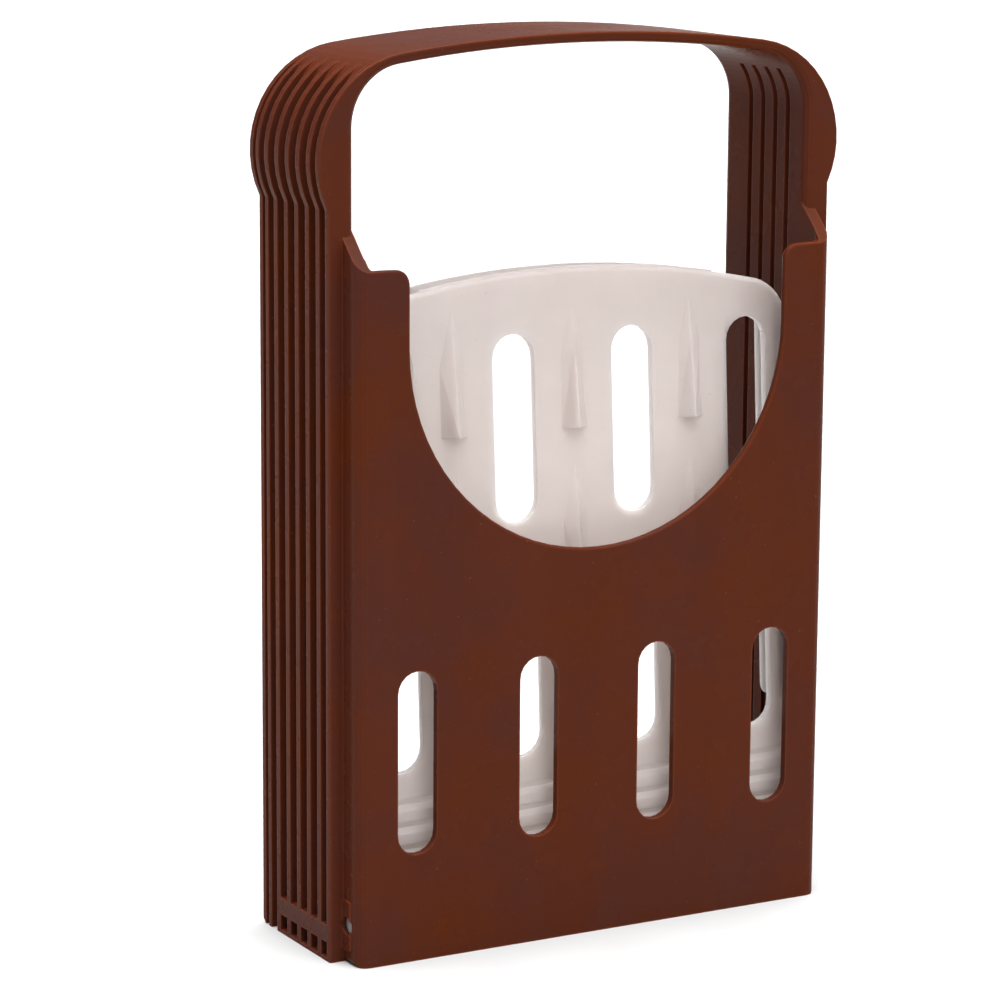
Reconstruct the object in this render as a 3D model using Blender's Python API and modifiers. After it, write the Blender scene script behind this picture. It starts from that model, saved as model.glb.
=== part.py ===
"""Folding bread slicer guide, standing folded on its base.

A brown arched frame with knife slots in its finned sides and a cover along its front,
and an ivory loaf tray hinged low in the cover's side walls. The tray unfolds to the rear.

Metres, +Z up, the cover faces -Y. The origin is the middle of the base.
"""

import math

import bmesh
import bpy
from mathutils import Matrix

# Arch: the brown band that is both sides and the carrying handle
ARCH_HEIGHT = 0.245
LOAF_HALF_WIDTH = 0.0695
SIDE_WALL = 0.0022
FIN_DEPTH = 0.0053
SHOULDER_BULGE = 0.0028
HANDLE_THICKNESS = 0.0029
ARCH_TOP_RADIUS = 0.420
OPENING_TOP_RADIUS = 0.400
OPENING_CORNER_RADIUS = 0.016
SHOULDER_THICKENING = 0.012
ARCH_OUTER_ROUND = 0.0005
ARCH_INNER_ROUND = 0.0022
HEEL_ROUND = 0.003

# Fins and grooves of the two sides, from the front ring to the rear ring
FRONT_RING = 0.0020
FRONT_GROOVE = 0.00335
FIN_THICKNESS = 0.0021
KNIFE_SLOTS = 4
KNIFE_SLOT_PITCH = 0.0062
KNIFE_SLOT_WIDTH = 0.0022
MIDDLE_GROOVE = 0.00345
REAR_FIN = 0.0017
REAR_GROOVE = 0.0018
REAR_RING = 0.00215
KNIFE_SLOT_TOP_DROP = 0.0125
GROOVE_FADE_DEGREES = 77.0
FOOT_BAND_HEIGHT = 0.0048
FOOT_STRIP = 0.001

# Cover along the front, in one piece with the arch
COVER_SIDE_WALL = 0.0035
COVER_DEPTH = 0.0088
COVER_WALL = 0.0022
COVER_HEIGHT = 0.1864
COVER_CORNER_ROUND = 0.00384
COVER_FOOT_ROUND = 0.002
COVER_TAB_ROUND = 0.004
COVER_RIM_ROUND = 0.0007
TAB_WIDTH = 0.0153
TAB_FILLET = 0.0012
TAB_WALL_SETBACK = 0.0002
COVER_SLOPE_RISE = 0.0083
COVER_SLOPE_DROP = 0.0003
CUTOUT_DEPTH = 0.0787
COVER_SLOT_WIDTH = 0.0117
COVER_SLOT_BOTTOM = 0.0295
COVER_SLOT_LENGTH = 0.0501

# Columns shared by the cover's slots, the tray's slots and the barbs between them
SLOT_COLUMNS = 4
OUTER_COLUMN_MARGIN = 0.01415

# Hinge low in the cover's side walls
BARREL_RADIUS = 0.0030
BARREL_LENGTH = 0.012
BARREL_CLEARANCE = 0.0012
HINGE_HEIGHT = 0.0106
PIN_RADIUS = 0.0022
PIN_CLEARANCE = 0.0003
PIN_RECESS = 0.0011
BOSS_RADIUS = 0.0069
BOSS_RISE = 0.0004
SHOULDER_CLEARANCE = 0.0003

# Floor between the sides, under the unfolded tray
FLOOR_THICKNESS = 0.0022
FLOOR_CLEARANCE = 0.0003
FLOOR_REAR_SETBACK = 0.001
FLOOR_BARREL_CLEARANCE = 0.0009

# Loaf tray, measured from its hinge axis
TRAY_REACH = 0.1711
TRAY_SIDE_CLEARANCE = 0.0004
TRAY_TOP_RADIUS = 0.275
TRAY_CORNER_RADIUS = 0.013
TRAY_EDGE_ROUND = 0.0012
TRAY_PLATE = 0.0022
TRAY_WALL = 0.0020
TRAY_FACE_OFFSET = 0.0006
TRAY_HEEL = 0.0032
TRAY_TABLE_CLEARANCE = 0.0003
LEG_CLEARANCE = 0.0022
LEG_INSET = 0.0018
LEG_END_MARGIN = 0.0155
LEG_CORNER_ROUND = 0.0025
TRAY_LIP_HALF_WIDTH = 0.0455
TRAY_LIP_RISE = 0.0004
TRAY_LIP_SETBACK = 0.0003
TRAY_SLOT_ROWS = 2
TRAY_SLOT_WIDTH = 0.0128
TRAY_SLOT_START = 0.0393
TRAY_SLOT_GAP = 0.0129
TRAY_SLOT_END_MARGIN = 0.0167
BARB_ROWS = 3
BARB_WIDTH = 0.0080
BARB_HEIGHT = 0.0032
BARB_START = 0.040
BARB_GAP = 0.010
BARB_END_MARGIN = 0.0091
BARB_STRAIGHT_SHARE = 0.55
KNIFE_GROOVE_DEPTH = 0.0011
TRAY_GROOVE_WIDTH = 0.0034
TRAY_LEAN_DEGREES = 3.8

# Cutting and joining
OVERRUN = 0.002
OVERLAP = 0.0006
WELD = 0.00001

# Facets
CORNER_STEPS = 14
TOP_STEPS = 16
ROUND_STEPS = 3
EDGE_STEPS = 5
SLOT_END_STEPS = 10
CUTOUT_STEPS = 36
PIN_SIDES = 24
BOSS_SIDES = 48
RIM_STEPS = 2
SHARP_ANGLE = math.radians(30)
RIM_ANGLE = math.radians(40)

# Sizes worked out from those above
SIDE_THICKNESS = SIDE_WALL + FIN_DEPTH
ARCH_HALF_WIDTH = LOAF_HALF_WIDTH + SIDE_THICKNESS
ARCH_WIDEST_HALF = ARCH_HALF_WIDTH + SHOULDER_BULGE
ARCH_CORNER_RADIUS = OPENING_CORNER_RADIUS + SHOULDER_THICKENING
GROOVE_WIDTH = KNIFE_SLOT_PITCH - FIN_THICKNESS
FIRST_GROOVE = FRONT_RING + FRONT_GROOVE + FIN_THICKNESS
LAST_GROOVE_END = FIRST_GROOVE + (KNIFE_SLOTS - 1) * KNIFE_SLOT_PITCH + GROOVE_WIDTH
REAR_GROOVE_START = LAST_GROOVE_END + FIN_THICKNESS + MIDDLE_GROOVE + REAR_FIN
ARCH_DEPTH = REAR_GROOVE_START + REAR_GROOVE + REAR_RING
COVER_HALF_WIDTH = LOAF_HALF_WIDTH + COVER_SIDE_WALL
CUTOUT_RADIUS = COVER_HALF_WIDTH - TAB_WIDTH
COLUMN_PITCH = 2 * (LOAF_HALF_WIDTH - OUTER_COLUMN_MARGIN) / (SLOT_COLUMNS - 1)
TRAY_HALF_WIDTH = LOAF_HALF_WIDTH - TRAY_SIDE_CLEARANCE
TRAY_BACK = TRAY_PLATE - TRAY_FACE_OFFSET
TRAY_SLOT_SPAN = TRAY_REACH - TRAY_SLOT_END_MARGIN - TRAY_SLOT_START
TRAY_SLOT_ROW_PITCH = (TRAY_SLOT_SPAN + TRAY_SLOT_GAP) / TRAY_SLOT_ROWS
TRAY_SLOT_LENGTH = TRAY_SLOT_ROW_PITCH - TRAY_SLOT_GAP
BARB_SPAN = TRAY_REACH - BARB_END_MARGIN - BARB_START
BARB_ROW_PITCH = (BARB_SPAN + BARB_GAP) / BARB_ROWS
BARB_LENGTH = BARB_ROW_PITCH - BARB_GAP

# Places worked out from the sizes above
COVER_FACE = -(ARCH_DEPTH + COVER_DEPTH) / 2
ARCH_FACE = COVER_FACE + COVER_DEPTH
REAR_FACE = ARCH_FACE + ARCH_DEPTH
COVER_REAR = ARCH_FACE + ARCH_INNER_ROUND + OVERLAP
COVER_BLANK_TOP = COVER_HEIGHT + 2 * COVER_SLOPE_RISE
HINGE_PLACE = COVER_FACE + COVER_WALL + BARREL_CLEARANCE + BARREL_RADIUS
TRAY_LEVEL = HINGE_HEIGHT + TRAY_FACE_OFFSET
KNIFE_FLOOR = TRAY_LEVEL - KNIFE_GROOVE_DEPTH
FIRST_SLOT_PLACE = ARCH_FACE + FIRST_GROOVE + GROOVE_WIDTH / 2


def clear_scene():
    for item in list(bpy.data.objects):
        bpy.data.objects.remove(item, do_unlink=True)


def new_collection(name):
    collection = bpy.data.collections.new(name)
    bpy.context.scene.collection.children.link(collection)
    return collection


def plastic(name, colour, roughness):
    material = bpy.data.materials.new(name)
    material.use_nodes = True
    shader = material.node_tree.nodes["Principled BSDF"]
    shader.inputs["Base Color"].default_value = (*colour, 1.0)
    shader.inputs["Roughness"].default_value = roughness
    shader.inputs["Metallic"].default_value = 0.0
    return material


def add_object(name, mesh, collection):
    item = bpy.data.objects.new(name, mesh)
    collection.objects.link(item)
    return item


def as_cutter(item, parent=None):
    item.hide_render = True
    item.display_type = "WIRE"
    item.parent = parent
    return item


# Flat outlines, as lists of points

def arc(centre, radius, start, end, steps):
    """Points on an arc, angles in degrees from the first axis, both ends included."""
    points = []
    for step in range(steps + 1):
        angle = math.radians(start + (end - start) * step / steps)
        points.append((centre[0] + radius * math.cos(angle), centre[1] + radius * math.sin(angle)))
    return points


def mirrored(points):
    return [(-across, up) for across, up in reversed(points)]


def stadium(width, low, length, steps):
    """An upright slot outline with round ends, centred on zero."""
    radius = width / 2
    lower = arc((0, low + radius), radius, 180, 360, steps)
    upper = arc((0, low + length - radius), radius, 0, 180, steps)
    return lower + upper


def arched_half(half_width, top, top_radius, corner_radius, corner_end, corner_steps):
    """Right half of an arched top, from its crown down to where the corner arc ends.

    The corner arc meets the top arc smoothly. corner_end is its last angle in degrees.
    """
    corner_across = half_width - corner_radius
    top_centre = top - top_radius
    rise = math.sqrt((top_radius - corner_radius) ** 2 - corner_across ** 2)
    corner = (corner_across, top_centre + rise)
    meet = math.degrees(math.atan2(rise, corner_across))
    crown = arc((0, top_centre), top_radius, 90, meet, TOP_STEPS // 2)
    bend = arc(corner, corner_radius, meet, corner_end, corner_steps)
    return crown + bend[1:]


# Solids

FRONT_VIEW = Matrix(((1, 0, 0, 0), (0, 0, -1, 0), (0, 1, 0, 0), (0, 0, 0, 1)))
PLAN_VIEW = Matrix.Identity(4)
SIDE_VIEW = Matrix(((0, 0, 1, 0), (1, 0, 0, 0), (0, 1, 0, 0), (0, 0, 0, 1)))


def extruded(name, outline, view, low, high, collection):
    """A flat outline drawn in a view and extruded from low to high along the view's depth."""
    curve = bpy.data.curves.new(name, "CURVE")
    curve.dimensions = "2D"
    curve.fill_mode = "BOTH"
    curve.extrude = (high - low) / 2
    spline = curve.splines.new("POLY")
    spline.points.add(len(outline) - 1)
    for point, (across, up) in zip(spline.points, outline):
        point.co = (across, up, 0, 1)
    spline.use_cyclic_u = True
    drawing = add_object(name + "_drawing", curve, collection)
    depth = view.to_3x3() @ Matrix.Identity(3).col[2]
    middle = (low + high) / 2
    drawing.matrix_world = Matrix.Translation(depth * middle * sum(depth)) @ view
    bpy.context.view_layer.update()
    evaluated = drawing.evaluated_get(bpy.context.evaluated_depsgraph_get())
    mesh = bpy.data.meshes.new_from_object(evaluated)
    mesh.transform(drawing.matrix_world)
    bpy.data.objects.remove(drawing, do_unlink=True)
    shape = bmesh.new()
    shape.from_mesh(mesh)
    bmesh.ops.remove_doubles(shape, verts=shape.verts, dist=WELD)
    edges = [edge for edge in shape.edges if edge.calc_face_angle(0) < math.radians(0.5)]
    bmesh.ops.dissolve_edges(shape, edges=edges)
    bmesh.ops.recalc_face_normals(shape, faces=shape.faces)
    shape.to_mesh(mesh)
    shape.free()
    mesh.name = name
    return add_object(name, mesh, collection)


def box(name, low, high, collection):
    mesh = bpy.data.meshes.new(name)
    shape = bmesh.new()
    bmesh.ops.create_cube(shape, size=1.0)
    spans = [top - bottom for bottom, top in zip(low, high)]
    middle = [(top + bottom) / 2 for bottom, top in zip(low, high)]
    scale = Matrix.Diagonal((*spans, 1.0))
    bmesh.ops.transform(shape, matrix=Matrix.Translation(middle) @ scale, verts=shape.verts)
    shape.to_mesh(mesh)
    shape.free()
    return add_object(name, mesh, collection)


def crosswise_cylinder(name, centre, radius, left, right, sides, collection):
    """A cylinder along X between left and right, centre given as (y, z)."""
    mesh = bpy.data.meshes.new(name)
    shape = bmesh.new()
    bmesh.ops.create_cone(shape, cap_ends=True, segments=sides, radius1=radius, radius2=radius,
                          depth=right - left)
    place = Matrix.Translation(((left + right) / 2, *centre))
    turn = Matrix.Rotation(math.radians(90), 4, "Y")
    bmesh.ops.transform(shape, matrix=place @ turn, verts=shape.verts)
    shape.to_mesh(mesh)
    shape.free()
    return add_object(name, mesh, collection)


def round_edges(item, chosen, width, steps):
    """Rounds the edges that the test picks."""
    shape = bmesh.new()
    shape.from_mesh(item.data)
    edges = [edge for edge in shape.edges if chosen(edge)]
    bmesh.ops.bevel(shape, geom=edges, offset=width, segments=steps, profile=0.5,
                    affect="EDGES", clamp_overlap=False)
    shape.to_mesh(item.data)
    shape.free()


def repeat(item, count, step):
    array = item.modifiers.new("repeat", "ARRAY")
    array.use_relative_offset = False
    array.use_constant_offset = True
    array.constant_offset_displace = step
    array.count = count
    return item


def both_sides(item):
    mirror = item.modifiers.new("both_sides", "MIRROR")
    mirror.use_axis = (True, False, False)
    mirror.use_mirror_merge = False
    return item


def combine(item, tool, operation):
    boolean = item.modifiers.new(tool.name, "BOOLEAN")
    boolean.solver = "EXACT"
    boolean.operation = operation
    boolean.object = tool


def bake(item):
    """Applies an object's modifiers to its mesh."""
    bpy.context.view_layer.update()
    evaluated = item.evaluated_get(bpy.context.evaluated_depsgraph_get())
    mesh = bpy.data.meshes.new_from_object(evaluated)
    item.modifiers.clear()
    item.data = mesh


def finish_surface(item, material):
    item.data.materials.clear()
    item.data.materials.append(material)
    item.data.shade_smooth()
    item.data.set_sharp_from_angle(angle=SHARP_ANGLE)


# Frame

def arch_outer_half():
    kink = math.degrees(math.acos((ARCH_HALF_WIDTH - ARCH_WIDEST_HALF + ARCH_CORNER_RADIUS)
                                  / ARCH_CORNER_RADIUS))
    return arched_half(ARCH_WIDEST_HALF, ARCH_HEIGHT, ARCH_TOP_RADIUS, ARCH_CORNER_RADIUS,
                       -kink, CORNER_STEPS)


def opening_half():
    return arched_half(LOAF_HALF_WIDTH, ARCH_HEIGHT - HANDLE_THICKNESS, OPENING_TOP_RADIUS,
                       OPENING_CORNER_RADIUS, 0, CORNER_STEPS)


def arch_body(collection):
    """The plain arched band, one closed outline that is open at the bottom."""
    outer = arch_outer_half() + [(ARCH_HALF_WIDTH, 0)]
    inner = opening_half() + [(LOAF_HALF_WIDTH, 0)]
    outer_side = mirrored(outer) + outer[1:]
    inner_side = mirrored(inner) + inner[1:]
    outline = outer_side + inner_side[::-1]
    arch = extruded("frame", outline, FRONT_VIEW, ARCH_FACE, REAR_FACE, collection)

    def rims_through(corners):
        """Picks the front and rear edges whose ends lie on the given outline points."""
        def chosen(edge):
            first, second = [vert.co for vert in edge.verts]
            level = any(abs(first.y - face) + abs(second.y - face) < WELD
                        for face in (ARCH_FACE, REAR_FACE))
            on_outline = all(
                any(math.dist((abs(end.x), end.z), corner) < WELD for corner in corners)
                for end in (first, second))
            return level and on_outline and max(first.z, second.z) > WELD
        return chosen

    limit = min(1, (HANDLE_THICKNESS - WELD) / (ARCH_OUTER_ROUND + ARCH_INNER_ROUND))
    round_edges(arch, rims_through(outer), ARCH_OUTER_ROUND * limit, ROUND_STEPS)
    round_edges(arch, rims_through(inner), ARCH_INNER_ROUND * limit, ROUND_STEPS)
    return arch


def heel_tool(collection):
    """Cuts the lower rear corner of both sides to a round heel."""
    centre = (REAR_FACE - HEEL_ROUND, HEEL_ROUND)
    bend = arc(centre, HEEL_ROUND, -90, 0, EDGE_STEPS)
    outside = [(REAR_FACE + OVERRUN, HEEL_ROUND), (REAR_FACE + OVERRUN, -OVERRUN),
               (centre[0], -OVERRUN)]
    reach = ARCH_WIDEST_HALF + OVERRUN
    return as_cutter(extruded("heel", bend + outside, SIDE_VIEW, -reach, reach, collection))


def groove_outline(foot):
    """What a side groove takes away, seen from the front: it follows the inner wall up
    from its foot and fades out through the arch's shoulder."""
    wall = LOAF_HALF_WIDTH + SIDE_WALL
    fade_angle = math.radians(GROOVE_FADE_DEGREES)
    fade = (ARCH_WIDEST_HALF - ARCH_CORNER_RADIUS * (1 - math.cos(fade_angle)),
            arch_corner_height() + ARCH_CORNER_RADIUS * math.sin(fade_angle))
    across = wall - OPENING_CORNER_RADIUS
    rise = math.sqrt(OPENING_CORNER_RADIUS ** 2 - (fade[0] - across) ** 2)
    centre = (across, fade[1] - rise)
    turn = math.degrees(math.atan2(rise, fade[0] - across))
    floor = [(wall, foot)] + arc(centre, OPENING_CORNER_RADIUS, 0, turn, CORNER_STEPS)
    ahead = (2 * floor[-1][0] - floor[-2][0], 2 * floor[-1][1] - floor[-2][1])
    outside = ARCH_WIDEST_HALF + OVERRUN
    return floor + [ahead, (outside, ahead[1]), (outside, foot)]


def arch_corner_height():
    across = ARCH_WIDEST_HALF - ARCH_CORNER_RADIUS
    slant = ARCH_TOP_RADIUS - ARCH_CORNER_RADIUS
    return ARCH_HEIGHT - ARCH_TOP_RADIUS + math.sqrt(slant ** 2 - across ** 2)


def groove_tools(collection):
    """All side grooves: one behind the front ring, the knife slots' own, two at the rear."""
    above_foot = groove_outline(KNIFE_FLOOR)
    to_table = groove_outline(-OVERRUN)
    grooves = (
        ("front_groove", above_foot, FRONT_RING, FRONT_GROOVE),
        ("knife_grooves", above_foot, FIRST_GROOVE, GROOVE_WIDTH),
        ("middle_groove", to_table, LAST_GROOVE_END + FIN_THICKNESS, MIDDLE_GROOVE),
        ("rear_groove", to_table, REAR_GROOVE_START, REAR_GROOVE),
    )
    tools = []
    for name, outline, start, width in grooves:
        front = ARCH_FACE + start
        tool = extruded(name, outline, FRONT_VIEW, front, front + width, collection)
        if name == "knife_grooves":
            repeat(tool, KNIFE_SLOTS, (0, KNIFE_SLOT_PITCH, 0))
        tools.append(as_cutter(both_sides(tool)))
    return tools


def knife_slot_tool(collection):
    """The slots through both side walls, in the middle of their grooves."""
    half = KNIFE_SLOT_WIDTH / 2
    low = (LOAF_HALF_WIDTH - OPENING_CORNER_RADIUS, FIRST_SLOT_PLACE - half, KNIFE_FLOOR)
    high = (LOAF_HALF_WIDTH + SIDE_WALL + OVERRUN, FIRST_SLOT_PLACE + half,
            ARCH_HEIGHT - KNIFE_SLOT_TOP_DROP)
    tool = box("knife_slots", low, high, collection)
    repeat(tool, KNIFE_SLOTS, (0, KNIFE_SLOT_PITCH, 0))
    return as_cutter(both_sides(tool))


def foot_window_tools(collection):
    """Pockets under the solid band at the foot of the front and knife grooves."""
    top = KNIFE_FLOOR - FOOT_BAND_HEIGHT
    wall = LOAF_HALF_WIDTH + SIDE_WALL
    outside = ARCH_HALF_WIDTH + OVERRUN
    tools = []
    for name, start, width in (("front_window", FRONT_RING, FRONT_GROOVE),
                               ("knife_windows", FIRST_GROOVE, GROOVE_WIDTH)):
        front = ARCH_FACE + start
        tool = box(name, (wall, front, FOOT_STRIP), (outside, front + width, top), collection)
        if name == "knife_windows":
            repeat(tool, KNIFE_SLOTS, (0, KNIFE_SLOT_PITCH, 0))
        tools.append(as_cutter(both_sides(tool)))
    return tools


def cover_plan(half_width, face, corner_round, wall, rear):
    """Plan of the cover: a shallow channel with round front corners, open to the rear."""
    outer_centre = (half_width - corner_round, face + corner_round)
    outer = [(half_width, rear)]
    outer += reversed(arc(outer_centre, corner_round, -90, 0, EDGE_STEPS))
    inner_round = max(corner_round - wall, OVERLAP)
    inner_face = face + wall
    inner_half = LOAF_HALF_WIDTH
    inner_centre = (inner_half - inner_round, inner_face + inner_round)
    inner = arc(inner_centre, inner_round, -90, 0, EDGE_STEPS) + [(inner_half, rear)]
    return outer + mirrored(outer) + mirrored(inner) + inner


def cover_window_outline():
    """The cut-out in the cover's upper half, with its two round-shouldered tabs left standing."""
    centre = (0, COVER_HEIGHT - CUTOUT_DEPTH + CUTOUT_RADIUS)
    bowl = arc(centre, CUTOUT_RADIUS, -90, 0, CUTOUT_STEPS // 2)
    shoulder_centre = (CUTOUT_RADIUS + COVER_TAB_ROUND, COVER_HEIGHT - COVER_TAB_ROUND)
    shoulder = arc(shoulder_centre, COVER_TAB_ROUND, 180, 90, EDGE_STEPS)
    tab_end = LOAF_HALF_WIDTH - TAB_WALL_SETBACK
    fillet_centre = (tab_end - TAB_FILLET, COVER_HEIGHT + TAB_FILLET)
    fillet = arc(fillet_centre, TAB_FILLET, -90, 0, EDGE_STEPS)
    right = bowl + shoulder + fillet + [(tab_end, COVER_BLANK_TOP + OVERRUN)]
    return right + mirrored(right[1:])


def slope_height(place):
    """How high the cover's sides reach at a place between its face and the arch."""
    rise = (place - COVER_FACE) * COVER_SLOPE_RISE / COVER_DEPTH
    return COVER_HEIGHT - COVER_SLOPE_DROP + rise


def cover_body(collection):
    """The cover with its cut-out, slots, sloping sides and hinge bosses."""
    plan = cover_plan(COVER_HALF_WIDTH, COVER_FACE, COVER_CORNER_ROUND, COVER_WALL, COVER_REAR)
    cover = extruded("cover", plan, PLAN_VIEW, 0, COVER_BLANK_TOP, collection)

    bosses = crosswise_cylinder("boss_round", (HINGE_PLACE, HINGE_HEIGHT), BOSS_RADIUS,
                                LOAF_HALF_WIDTH + OVERLAP, COVER_HALF_WIDTH + BOSS_RISE,
                                BOSS_SIDES, collection)
    boss_limit = box("boss_limit", (LOAF_HALF_WIDTH, COVER_FACE + COVER_CORNER_ROUND + OVERLAP, 0),
                     (COVER_HALF_WIDTH + BOSS_RISE + OVERRUN, ARCH_FACE + BOSS_RADIUS,
                      COVER_HEIGHT), collection)
    combine(bosses, as_cutter(boss_limit), "INTERSECT")
    bake(bosses)
    combine(cover, as_cutter(both_sides(bosses)), "UNION")

    foot = extruded("cover_foot", cover_foot_outline(), FRONT_VIEW, COVER_FACE - OVERRUN,
                    COVER_REAR + OVERRUN, collection)
    combine(cover, as_cutter(both_sides(foot)), "DIFFERENCE")

    window = extruded("cover_window", cover_window_outline(), FRONT_VIEW, COVER_FACE - OVERRUN,
                      COVER_FACE + COVER_WALL + COVER_CORNER_ROUND / 2, collection)
    combine(cover, as_cutter(window), "DIFFERENCE")

    bake(cover)

    def is_rim(edge):
        """The edges of the cut-out and the tabs, on the front and inner faces."""
        sharp = edge.calc_face_angle(0) > RIM_ANGLE
        in_height = all(COVER_HEIGHT - CUTOUT_DEPTH - WELD < end.co.z < COVER_HEIGHT + WELD
                        for end in edge.verts)
        on_wall = any(all(abs(end.co.y - face) < WELD for end in edge.verts)
                      for face in (COVER_FACE, COVER_FACE + COVER_WALL))
        return sharp and in_height and on_wall

    round_edges(cover, is_rim, COVER_RIM_ROUND, RIM_STEPS)

    ahead = COVER_FACE - OVERRUN
    behind = COVER_REAR + OVERRUN
    slope = [(ahead, slope_height(ahead)), (behind, slope_height(behind)),
             (behind, COVER_BLANK_TOP + OVERRUN), (ahead, COVER_BLANK_TOP + OVERRUN)]
    reach = COVER_HALF_WIDTH + OVERRUN
    sloped = extruded("cover_slope", slope, SIDE_VIEW, -reach, reach, collection)
    combine(cover, as_cutter(sloped), "DIFFERENCE")

    outline = stadium(COVER_SLOT_WIDTH, COVER_SLOT_BOTTOM, COVER_SLOT_LENGTH, SLOT_END_STEPS)
    first = -(SLOT_COLUMNS - 1) * COLUMN_PITCH / 2
    placed = [(first + across, up) for across, up in outline]
    slots = extruded("cover_slots", placed, FRONT_VIEW, COVER_FACE - OVERRUN,
                     COVER_FACE + COVER_WALL + OVERRUN, collection)
    combine(cover, as_cutter(repeat(slots, SLOT_COLUMNS, (COLUMN_PITCH, 0, 0))), "DIFFERENCE")
    bake(cover)
    return cover


def cover_foot_outline():
    """What is cut from a lower corner of the cover, seen from the front."""
    outside = COVER_HALF_WIDTH + BOSS_RISE + OVERRUN
    foot = COVER_HALF_WIDTH - COVER_FOOT_ROUND
    bend = arc((foot, COVER_FOOT_ROUND), COVER_FOOT_ROUND, -90, 0, EDGE_STEPS)
    return bend + [(outside, COVER_FOOT_ROUND), (outside, -OVERRUN), (foot, -OVERRUN)]


def floor_body(collection):
    """The plate between the sides that the unfolded tray lies on."""
    half = LOAF_HALF_WIDTH + SIDE_WALL / 2
    tray_underside = HINGE_HEIGHT - TRAY_BACK
    top = tray_underside - FLOOR_CLEARANCE
    front = HINGE_PLACE + BARREL_RADIUS + FLOOR_BARREL_CLEARANCE
    return box("floor", (-half, front, top - FLOOR_THICKNESS),
               (half, REAR_FACE - FLOOR_REAR_SETBACK, top), collection)


def build_frame(parts, tools):
    frame = arch_body(parts)
    for tool in (*groove_tools(tools), *foot_window_tools(tools), heel_tool(tools)):
        combine(frame, tool, "DIFFERENCE")
    combine(frame, as_cutter(cover_body(tools)), "UNION")
    combine(frame, as_cutter(floor_body(tools)), "UNION")
    combine(frame, knife_slot_tool(tools), "DIFFERENCE")
    hole = crosswise_cylinder("hinge_hole", (HINGE_PLACE, HINGE_HEIGHT),
                              PIN_RADIUS + PIN_CLEARANCE, LOAF_HALF_WIDTH - OVERRUN,
                              COVER_HALF_WIDTH + BOSS_RISE + OVERRUN, PIN_SIDES, tools)
    combine(frame, as_cutter(both_sides(hole)), "DIFFERENCE")
    bake(frame)
    finish_surface(frame, plastic("brown_plastic", (0.125, 0.030, 0.017), 0.42))
    return frame


# Tray, drawn upright with the hinge axis at its own origin

def tray_plate(front, collection):
    """The loaf plate, its front edges round but for the lowest."""
    right = arched_half(TRAY_HALF_WIDTH, TRAY_REACH, TRAY_TOP_RADIUS, TRAY_CORNER_RADIUS, 0,
                        CORNER_STEPS)
    right += [(TRAY_HALF_WIDTH, -TRAY_HEEL)]
    outline = mirrored(right) + right[1:]
    plate = extruded("tray", outline, FRONT_VIEW, front, TRAY_BACK, collection)

    def front_edge(edge):
        first, second = [vert.co for vert in edge.verts]
        level = abs(first.y - front) + abs(second.y - front) < WELD
        return level and max(first.z, second.z) > WELD - TRAY_HEEL

    round_edges(plate, front_edge, TRAY_EDGE_ROUND, ROUND_STEPS)
    return plate


def tray_leg(rear, collection):
    """A wall along one side of the plate's back, on which the unfolded tray stands."""
    start = REAR_FACE - HINGE_PLACE + LEG_CLEARANCE
    end = TRAY_REACH - LEG_END_MARGIN
    back = rear - LEG_CORNER_ROUND
    lower = arc((back, start + LEG_CORNER_ROUND), LEG_CORNER_ROUND, -90, 0, EDGE_STEPS)
    upper = arc((back, end - LEG_CORNER_ROUND), LEG_CORNER_ROUND, 0, 90, EDGE_STEPS)
    root = TRAY_BACK - OVERLAP
    outline = [(root, start)] + lower + upper + [(root, end)]
    outside = TRAY_HALF_WIDTH - LEG_INSET
    return extruded("tray_leg", outline, SIDE_VIEW, outside - TRAY_WALL, outside, collection)


def build_tray(parts, tools):
    front = -TRAY_FACE_OFFSET
    depth = TRAY_LEVEL - TRAY_TABLE_CLEARANCE
    rear = front + depth
    tray = tray_plate(front, parts)
    combine(tray, as_cutter(both_sides(tray_leg(rear, tools)), tray), "UNION")

    first = -(SLOT_COLUMNS - 1) * COLUMN_PITCH / 2
    slot = stadium(TRAY_SLOT_WIDTH, TRAY_SLOT_START, TRAY_SLOT_LENGTH, SLOT_END_STEPS)
    placed = [(first + across, up) for across, up in slot]
    for row in range(TRAY_SLOT_ROWS):
        raised = [(across, up + row * TRAY_SLOT_ROW_PITCH) for across, up in placed]
        name = f"tray_slots_{row + 1}"
        slots = extruded(name, raised, FRONT_VIEW, front - OVERRUN, TRAY_BACK + OVERRUN, tools)
        repeat(slots, SLOT_COLUMNS, (COLUMN_PITCH, 0, 0))
        combine(tray, as_cutter(slots, tray), "DIFFERENCE")

    combine(tray, as_cutter(knife_groove_tool(tools), tray), "DIFFERENCE")
    for row in range(BARB_ROWS):
        combine(tray, as_cutter(barb_row(row, tools), tray), "UNION")

    combine(tray, as_cutter(tray_lip(rear, tools), tray), "UNION")
    shoulder = LOAF_HALF_WIDTH - SHOULDER_CLEARANCE
    barrel = crosswise_cylinder("barrel", (0, 0), BARREL_RADIUS, shoulder - BARREL_LENGTH,
                                shoulder, PIN_SIDES, tools)
    combine(tray, as_cutter(both_sides(barrel), tray), "UNION")
    pin = crosswise_cylinder("pin", (0, 0), PIN_RADIUS, shoulder - OVERLAP,
                             COVER_HALF_WIDTH + BOSS_RISE - PIN_RECESS, PIN_SIDES, tools)
    combine(tray, as_cutter(both_sides(pin), tray), "UNION")
    bake(tray)
    finish_surface(tray, plastic("ivory_plastic", (0.680, 0.590, 0.540), 0.45))
    tray.location = (0, HINGE_PLACE, HINGE_HEIGHT)
    tray.rotation_euler = (-math.radians(TRAY_LEAN_DEGREES), 0, 0)
    return tray


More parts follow.
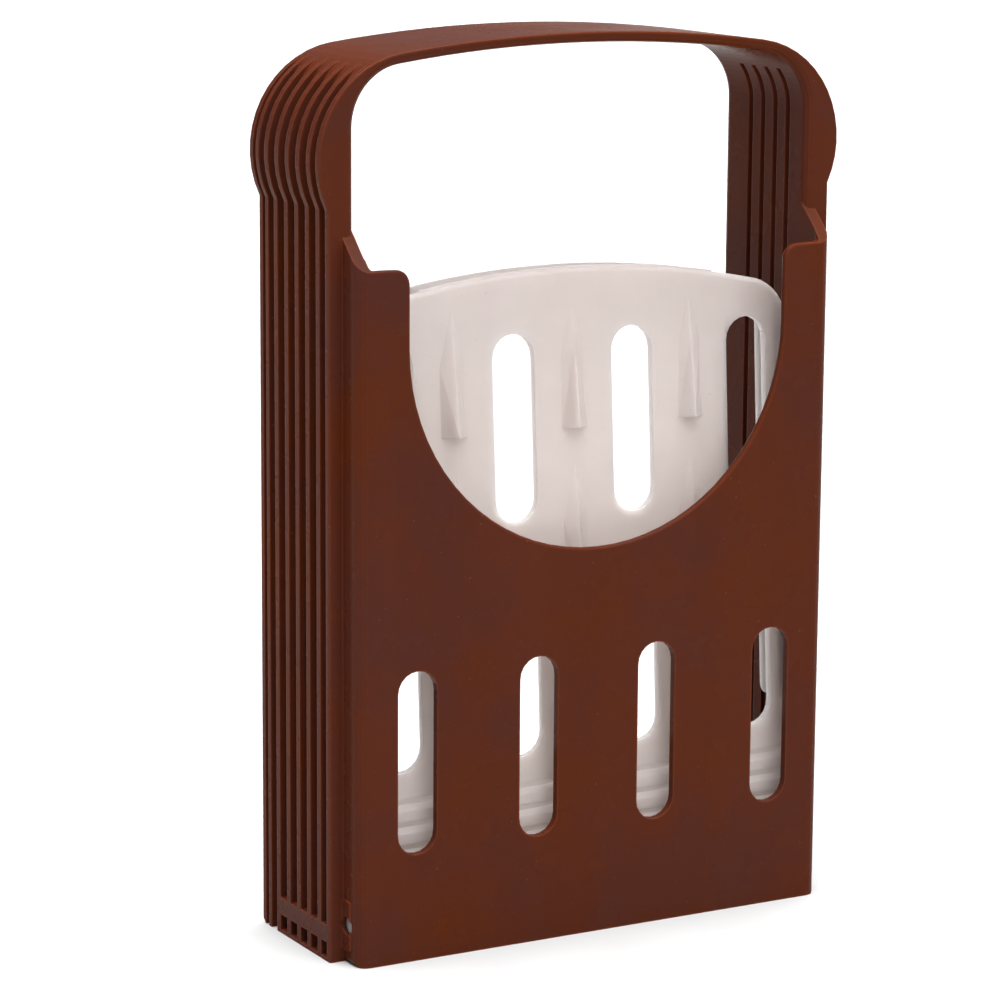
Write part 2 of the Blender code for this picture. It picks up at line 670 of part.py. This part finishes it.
def tray_lip(rear, collection):
    """The end wall behind the middle of the tray's arched end, a leg and a finger lip."""
    top_centre = TRAY_REACH - TRAY_TOP_RADIUS
    outer = TRAY_TOP_RADIUS + TRAY_LIP_RISE
    spread = math.degrees(math.asin(TRAY_LIP_HALF_WIDTH / outer))
    upper = arc((0, top_centre), outer, 90 - spread, 90 + spread, TOP_STEPS)
    lower = arc((0, top_centre), outer - TRAY_WALL, 90 + spread, 90 - spread, TOP_STEPS)
    return extruded("tray_lip", upper + lower, FRONT_VIEW, TRAY_BACK - OVERLAP,
                    rear - TRAY_LIP_SETBACK, collection)


def knife_groove_tool(collection):
    """Wedge-shaped bars, which cut V grooves in line with the knife slots."""
    half = TRAY_GROOVE_WIDTH / 2
    mouth = half * (1 + OVERRUN / KNIFE_GROOVE_DEPTH)
    start = FIRST_SLOT_PLACE - HINGE_PLACE
    outline = [(-TRAY_FACE_OFFSET + KNIFE_GROOVE_DEPTH, start),
               (-TRAY_FACE_OFFSET - OVERRUN, start + mouth),
               (-TRAY_FACE_OFFSET - OVERRUN, start - mouth)]
    reach = TRAY_HALF_WIDTH + OVERRUN
    bars = extruded("knife_bars", outline, SIDE_VIEW, -reach, reach, collection)
    return repeat(bars, KNIFE_SLOTS, (0, 0, KNIFE_SLOT_PITCH))


def barb_row(row, collection):
    """Roof-shaped barbs between the slot columns, pointed at the top, blunt at the bottom.

    Each is a four-sided cone whose lower half is sunk in the plate. A ring at its shoulder
    is pulled as wide as its foot, so that its lower part is straight.
    """
    name = f"barbs_{row + 1}"
    growth = (BARB_HEIGHT + OVERLAP) / BARB_HEIGHT
    length = BARB_LENGTH * growth
    mesh = bpy.data.meshes.new(name)
    shape = bmesh.new()
    bmesh.ops.create_cone(shape, cap_ends=True, segments=4, radius1=1.0, radius2=0, depth=length)
    ring = shape.verts[:] + shape.edges[:] + shape.faces[:]
    shoulder = (0, 0, (BARB_STRAIGHT_SHARE - 0.5) * length)
    cut = bmesh.ops.bisect_plane(shape, geom=ring, plane_co=shoulder, plane_no=(0, 0, 1))
    for vert in cut["geom_cut"]:
        if isinstance(vert, bmesh.types.BMVert):
            vert.co.x /= 1 - BARB_STRAIGHT_SHARE
    scale = Matrix.Diagonal((BARB_WIDTH / 2 * growth, BARB_HEIGHT * growth, 1, 1))
    count = SLOT_COLUMNS - 1
    middle = (-(count - 1) * COLUMN_PITCH / 2, -TRAY_FACE_OFFSET + OVERLAP,
              BARB_START + row * BARB_ROW_PITCH + length / 2)
    bmesh.ops.transform(shape, matrix=Matrix.Translation(middle) @ scale, verts=shape.verts)
    everything = shape.verts[:] + shape.edges[:] + shape.faces[:]
    cut = (0, -TRAY_FACE_OFFSET + TRAY_PLATE / 2, 0)
    bmesh.ops.bisect_plane(shape, geom=everything, plane_co=cut, plane_no=(0, 1, 0),
                           clear_outer=True)
    bmesh.ops.holes_fill(shape, edges=shape.edges)
    bmesh.ops.recalc_face_normals(shape, faces=shape.faces)
    shape.to_mesh(mesh)
    shape.free()
    barbs = add_object(name, mesh, collection)
    return repeat(barbs, count, (COLUMN_PITCH, 0, 0))


def main():
    clear_scene()
    parts = new_collection("bread_slicer_guide")
    tools = new_collection("cutters")
    build_frame(parts, tools)
    build_tray(parts, tools)


main()
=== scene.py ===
"""Bread slicer guide in a plain studio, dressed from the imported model."""
import math

import bmesh
import bpy
from mathutils import Matrix, Vector

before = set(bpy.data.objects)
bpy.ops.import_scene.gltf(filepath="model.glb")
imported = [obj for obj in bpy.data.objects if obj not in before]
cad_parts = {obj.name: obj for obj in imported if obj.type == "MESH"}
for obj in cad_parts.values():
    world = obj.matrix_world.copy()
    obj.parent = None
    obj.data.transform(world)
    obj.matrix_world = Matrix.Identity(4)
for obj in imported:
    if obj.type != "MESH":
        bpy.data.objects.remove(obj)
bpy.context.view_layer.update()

WHITE = (1, 1, 1, 1)

# Camera, fitted to the photograph
CAMERA_PLACE = Vector((-0.50167, -0.86682, 0.31559))
CAMERA_FORWARD = Vector((0.478665, 0.855979, -0.195398))
CAMERA_ROLL = math.radians(0.395)
CAMERA_LENS = 134.0

# Floor
FLOOR_REACH = 14.0
FLOOR_SEGMENTS = 96
FLOOR_TONE = 0.44
FLOOR_LIGHTER = 1.03
FLOOR_NOISE = (3, 2, 0.5)
FLOOR_ROUGHNESS = 0.7
FLOOR_SPECULAR = 0.1

# Sky strength by height, the sine of the elevation: from, to, strength before, strength after.
# The top lights the handle from above, and the rim keeps the backdrop pale in low views.
SKY_TOP = (0.74, 0.95, 0.18, 10.4)
SKY_RIM = (0.03, 0.09, 0.85, 0.0)

# Key light
SUN_STRENGTH = 1.35
SUN_FROM = Vector((0.08, -0.78, 0.60))
SUN_SPREAD = math.radians(42)

# Moulded edges, softened in shading only
EDGE_ROUND = 0.0003
EDGE_SAMPLES = 6
RIM_SAMPLES = 4
RIM_DOT = 0.75

# The two plastics. A noise is its scale per metre, detail, roughness and any stretch.
# A pattern is a noise with the range that turns it into a value: from, to, value before,
# value after. A relief is a noise with its height in metres and its strength.
BROWN = {
    "name": "brown_moulded_plastic",
    "clouds": ((30, 4, 0.60), (0.30, 0.70, 0, 1)),
    "cloud_tones": ((0.0730, 0.0150, 0.0040), (0.0560, 0.0158, 0.0108)),
    "flow": ((60, 3, 0.6, (1, 1, 0.12)), (0.45, 0.75, 0, 0.25)),
    "flow_tone": (0.0800, 0.0200, 0.0090),
    # Painted highlight: a lighter, redder tone laid on the rounded edges, where they would
    # catch the light.
    "painted_edge_highlight": (3 * EDGE_ROUND, (0, 1, 0, 0.80)),
    "painted_edge_highlight_tone": (0.165, 0.036, 0.014),
    "dust": ((1100, 2, 0.4), (0.76, 0.78, 0, 0.25)),
    "dust_tone": (0.24, 0.14, 0.10),
    "roughness": ((45, 4, 0.6), (0.3, 0.7, 0.22, 0.32)),
    "wave": ((28, 2, 0.4), 0.0006, 0.08),
    "grain": ((1500, 2, 0.5), 0.00005, 0.20),
    "shader": {"Specular IOR Level": 0.025},
}
IVORY = {
    "name": "ivory_moulded_plastic",
    "clouds": ((18, 4, 0.6), (0.35, 0.65, 0, 1)),
    "cloud_tones": ((0.376, 0.334, 0.323), (0.404, 0.362, 0.352)),
    "flow": ((50, 3, 0.6, (1, 1, 0.15)), (0.45, 0.8, 0, 0.4)),
    "flow_tone": (0.422, 0.382, 0.371),
    "dust": ((900, 2, 0.4), (0.76, 0.78, 0, 0.4)),
    "dust_tone": (0.30, 0.24, 0.20),
    "roughness": ((40, 4, 0.6), (0.3, 0.7, 0.42, 0.55)),
    "wave": ((30, 2, 0.4), 0.0006, 0.10),
    "grain": ((1300, 2, 0.5), 0.00006, 0.30),
    "shader": {"Specular IOR Level": 0.2, "Subsurface Weight": 0.92,
               "Subsurface Scale": 0.013, "Subsurface Radius": (1.0, 0.90, 0.84)},
}


def add_camera():
    right = CAMERA_FORWARD.cross(Vector((0, 0, 1))).normalized()
    up = right.cross(CAMERA_FORWARD).normalized()
    rolled_right = math.cos(CAMERA_ROLL) * right + math.sin(CAMERA_ROLL) * up
    rolled_up = math.cos(CAMERA_ROLL) * up - math.sin(CAMERA_ROLL) * right
    data = bpy.data.cameras.new("camera")
    data.lens = CAMERA_LENS
    camera = bpy.data.objects.new("camera", data)
    bpy.context.scene.collection.objects.link(camera)
    turn = Matrix((rolled_right, rolled_up, -CAMERA_FORWARD)).transposed().to_4x4()
    camera.matrix_world = Matrix.Translation(CAMERA_PLACE) @ turn
    bpy.context.scene.camera = camera


def map_range(tree, value, span, smooth=False):
    """Turns a value in a node tree into another by span: from, to, before, after."""
    node = tree.nodes.new("ShaderNodeMapRange")
    if smooth:
        node.interpolation_type = "SMOOTHSTEP"
    for name, number in zip(("From Min", "From Max", "To Min", "To Max"), span):
        node.inputs[name].default_value = number
    tree.links.new(value, node.inputs["Value"])
    return node.outputs["Result"]


class Nodes:
    """A material's node tree, with short ways to add and join its nodes."""

    def __init__(self, name):
        self.material = bpy.data.materials.new(name)
        self.material.use_nodes = True
        self.tree = self.material.node_tree
        self.shader = self.tree.nodes["Principled BSDF"]

    def add(self, kind, **settings):
        node = self.tree.nodes.new(kind)
        for name, value in settings.items():
            setattr(node, name, value)
        return node

    def join(self, source, target):
        self.tree.links.new(source, target)

    def noise(self, scale, detail, rough, stretch=(1, 1, 1)):
        """Noise over the piece's own points, in metres, stretched along its axes."""
        spot = self.add("ShaderNodeTexCoord")
        place = self.add("ShaderNodeMapping")
        place.inputs["Scale"].default_value = stretch
        self.join(spot.outputs["Object"], place.inputs["Vector"])
        node = self.add("ShaderNodeTexNoise")
        node.inputs["Scale"].default_value = scale
        node.inputs["Detail"].default_value = detail
        node.inputs["Roughness"].default_value = rough
        self.join(place.outputs["Vector"], node.inputs["Vector"])
        return node.outputs["Fac"]

    def pattern(self, noise, span):
        return map_range(self.tree, self.noise(*noise), span)

    def mix(self, share, first, second):
        """Mixes two colours, each a tuple or a node's output."""
        node = self.add("ShaderNodeMix", data_type="RGBA")
        self.join(share, node.inputs["Factor"])
        for socket, colour in ((node.inputs[6], first), (node.inputs[7], second)):
            if isinstance(colour, tuple):
                socket.default_value = (*colour, 1)
            else:
                self.join(colour, socket)
        return node.outputs[2]

    def relief(self, noise, height, strength, below):
        """Shading relief from a noise, laid over the normals below it."""
        node = self.add("ShaderNodeBump")
        node.inputs["Distance"].default_value = height
        node.inputs["Strength"].default_value = strength
        self.join(self.noise(*noise), node.inputs["Height"])
        self.join(below, node.inputs["Normal"])
        return node.outputs["Normal"]

    def rounded(self, radius, samples):
        """Normals that round the piece's edges."""
        node = self.add("ShaderNodeBevel", samples=samples)
        node.inputs["Radius"].default_value = radius
        return node.outputs["Normal"]

    # The share below masks a painted highlight, a lighter tone along the rounded edges.
    def painted_edge_highlight(self, radius, span):
        """How far a point lies on a rounded edge, 0 on a flat, turned by span."""
        flat = self.add("ShaderNodeNewGeometry")
        dot = self.add("ShaderNodeVectorMath", operation="DOT_PRODUCT")
        self.join(self.rounded(radius, RIM_SAMPLES), dot.inputs[0])
        self.join(flat.outputs["Normal"], dot.inputs[1])
        share = map_range(self.tree, dot.outputs["Value"], (1.0, RIM_DOT, 0.0, 1.0))
        return map_range(self.tree, share, span)


def plastic(look):
    m = Nodes(look["name"])
    tone = m.mix(m.pattern(*look["clouds"]), *look["cloud_tones"])
    tone = m.mix(m.pattern(*look["flow"]), tone, look["flow_tone"])
    # Painted highlight along the rounded edges, mixed into the base colour.
    if "painted_edge_highlight" in look:
        tone = m.mix(m.painted_edge_highlight(*look["painted_edge_highlight"]), tone, look["painted_edge_highlight_tone"])
    tone = m.mix(m.pattern(*look["dust"]), tone, look["dust_tone"])
    m.join(tone, m.shader.inputs["Base Color"])
    m.join(m.pattern(*look["roughness"]), m.shader.inputs["Roughness"])
    wave = m.relief(*look["wave"], m.rounded(EDGE_ROUND, EDGE_SAMPLES))
    m.join(m.relief(*look["grain"], wave), m.shader.inputs["Normal"])
    for name, value in look["shader"].items():
        m.shader.inputs[name].default_value = value
    return m.material


def floor_paint():
    m = Nodes("studio_floor_paint")
    dark = (FLOOR_TONE,) * 3
    light = (FLOOR_LIGHTER * FLOOR_TONE,) * 3
    m.join(m.mix(m.noise(*FLOOR_NOISE), dark, light), m.shader.inputs["Base Color"])
    m.shader.inputs["Roughness"].default_value = FLOOR_ROUGHNESS
    m.shader.inputs["Specular IOR Level"].default_value = FLOOR_SPECULAR
    return m.material


def add_floor():
    mesh = bpy.data.meshes.new("studio_floor")
    shape = bmesh.new()
    bmesh.ops.create_circle(shape, cap_ends=True, segments=FLOOR_SEGMENTS,
                            radius=FLOOR_REACH)
    shape.to_mesh(mesh)
    shape.free()
    mesh.materials.append(floor_paint())
    floor = bpy.data.objects.new("studio_floor", mesh)
    bpy.context.scene.collection.objects.link(floor)


def add_sky():
    world = bpy.data.worlds.new("studio")
    world.use_nodes = True
    tree = world.node_tree
    spot = tree.nodes.new("ShaderNodeTexCoord")
    parts = tree.nodes.new("ShaderNodeSeparateXYZ")
    tree.links.new(spot.outputs["Generated"], parts.inputs["Vector"])
    both = tree.nodes.new("ShaderNodeMath")
    both.operation = "ADD"
    for socket, span in zip(both.inputs, (SKY_TOP, SKY_RIM)):
        tree.links.new(map_range(tree, parts.outputs["Z"], span, smooth=True), socket)
    sky = tree.nodes["Background"]
    tree.links.new(both.outputs["Value"], sky.inputs["Strength"])
    sky.inputs["Color"].default_value = WHITE
    bpy.context.scene.world = world


def add_sun():
    data = bpy.data.lights.new("key", "SUN")
    data.energy = SUN_STRENGTH
    data.angle = SUN_SPREAD
    sun = bpy.data.objects.new("key", data)
    bpy.context.scene.collection.objects.link(sun)
    sun.rotation_euler = SUN_FROM.to_track_quat("Z", "Y").to_euler()


add_camera()
add_floor()
add_sky()
add_sun()
bpy.context.scene.view_settings.view_transform = "Standard"

for name, look in (("frame", BROWN), ("tray", IVORY)):
    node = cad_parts[name]
    node.data.materials.clear()
    node.data.materials.append(plastic(look))
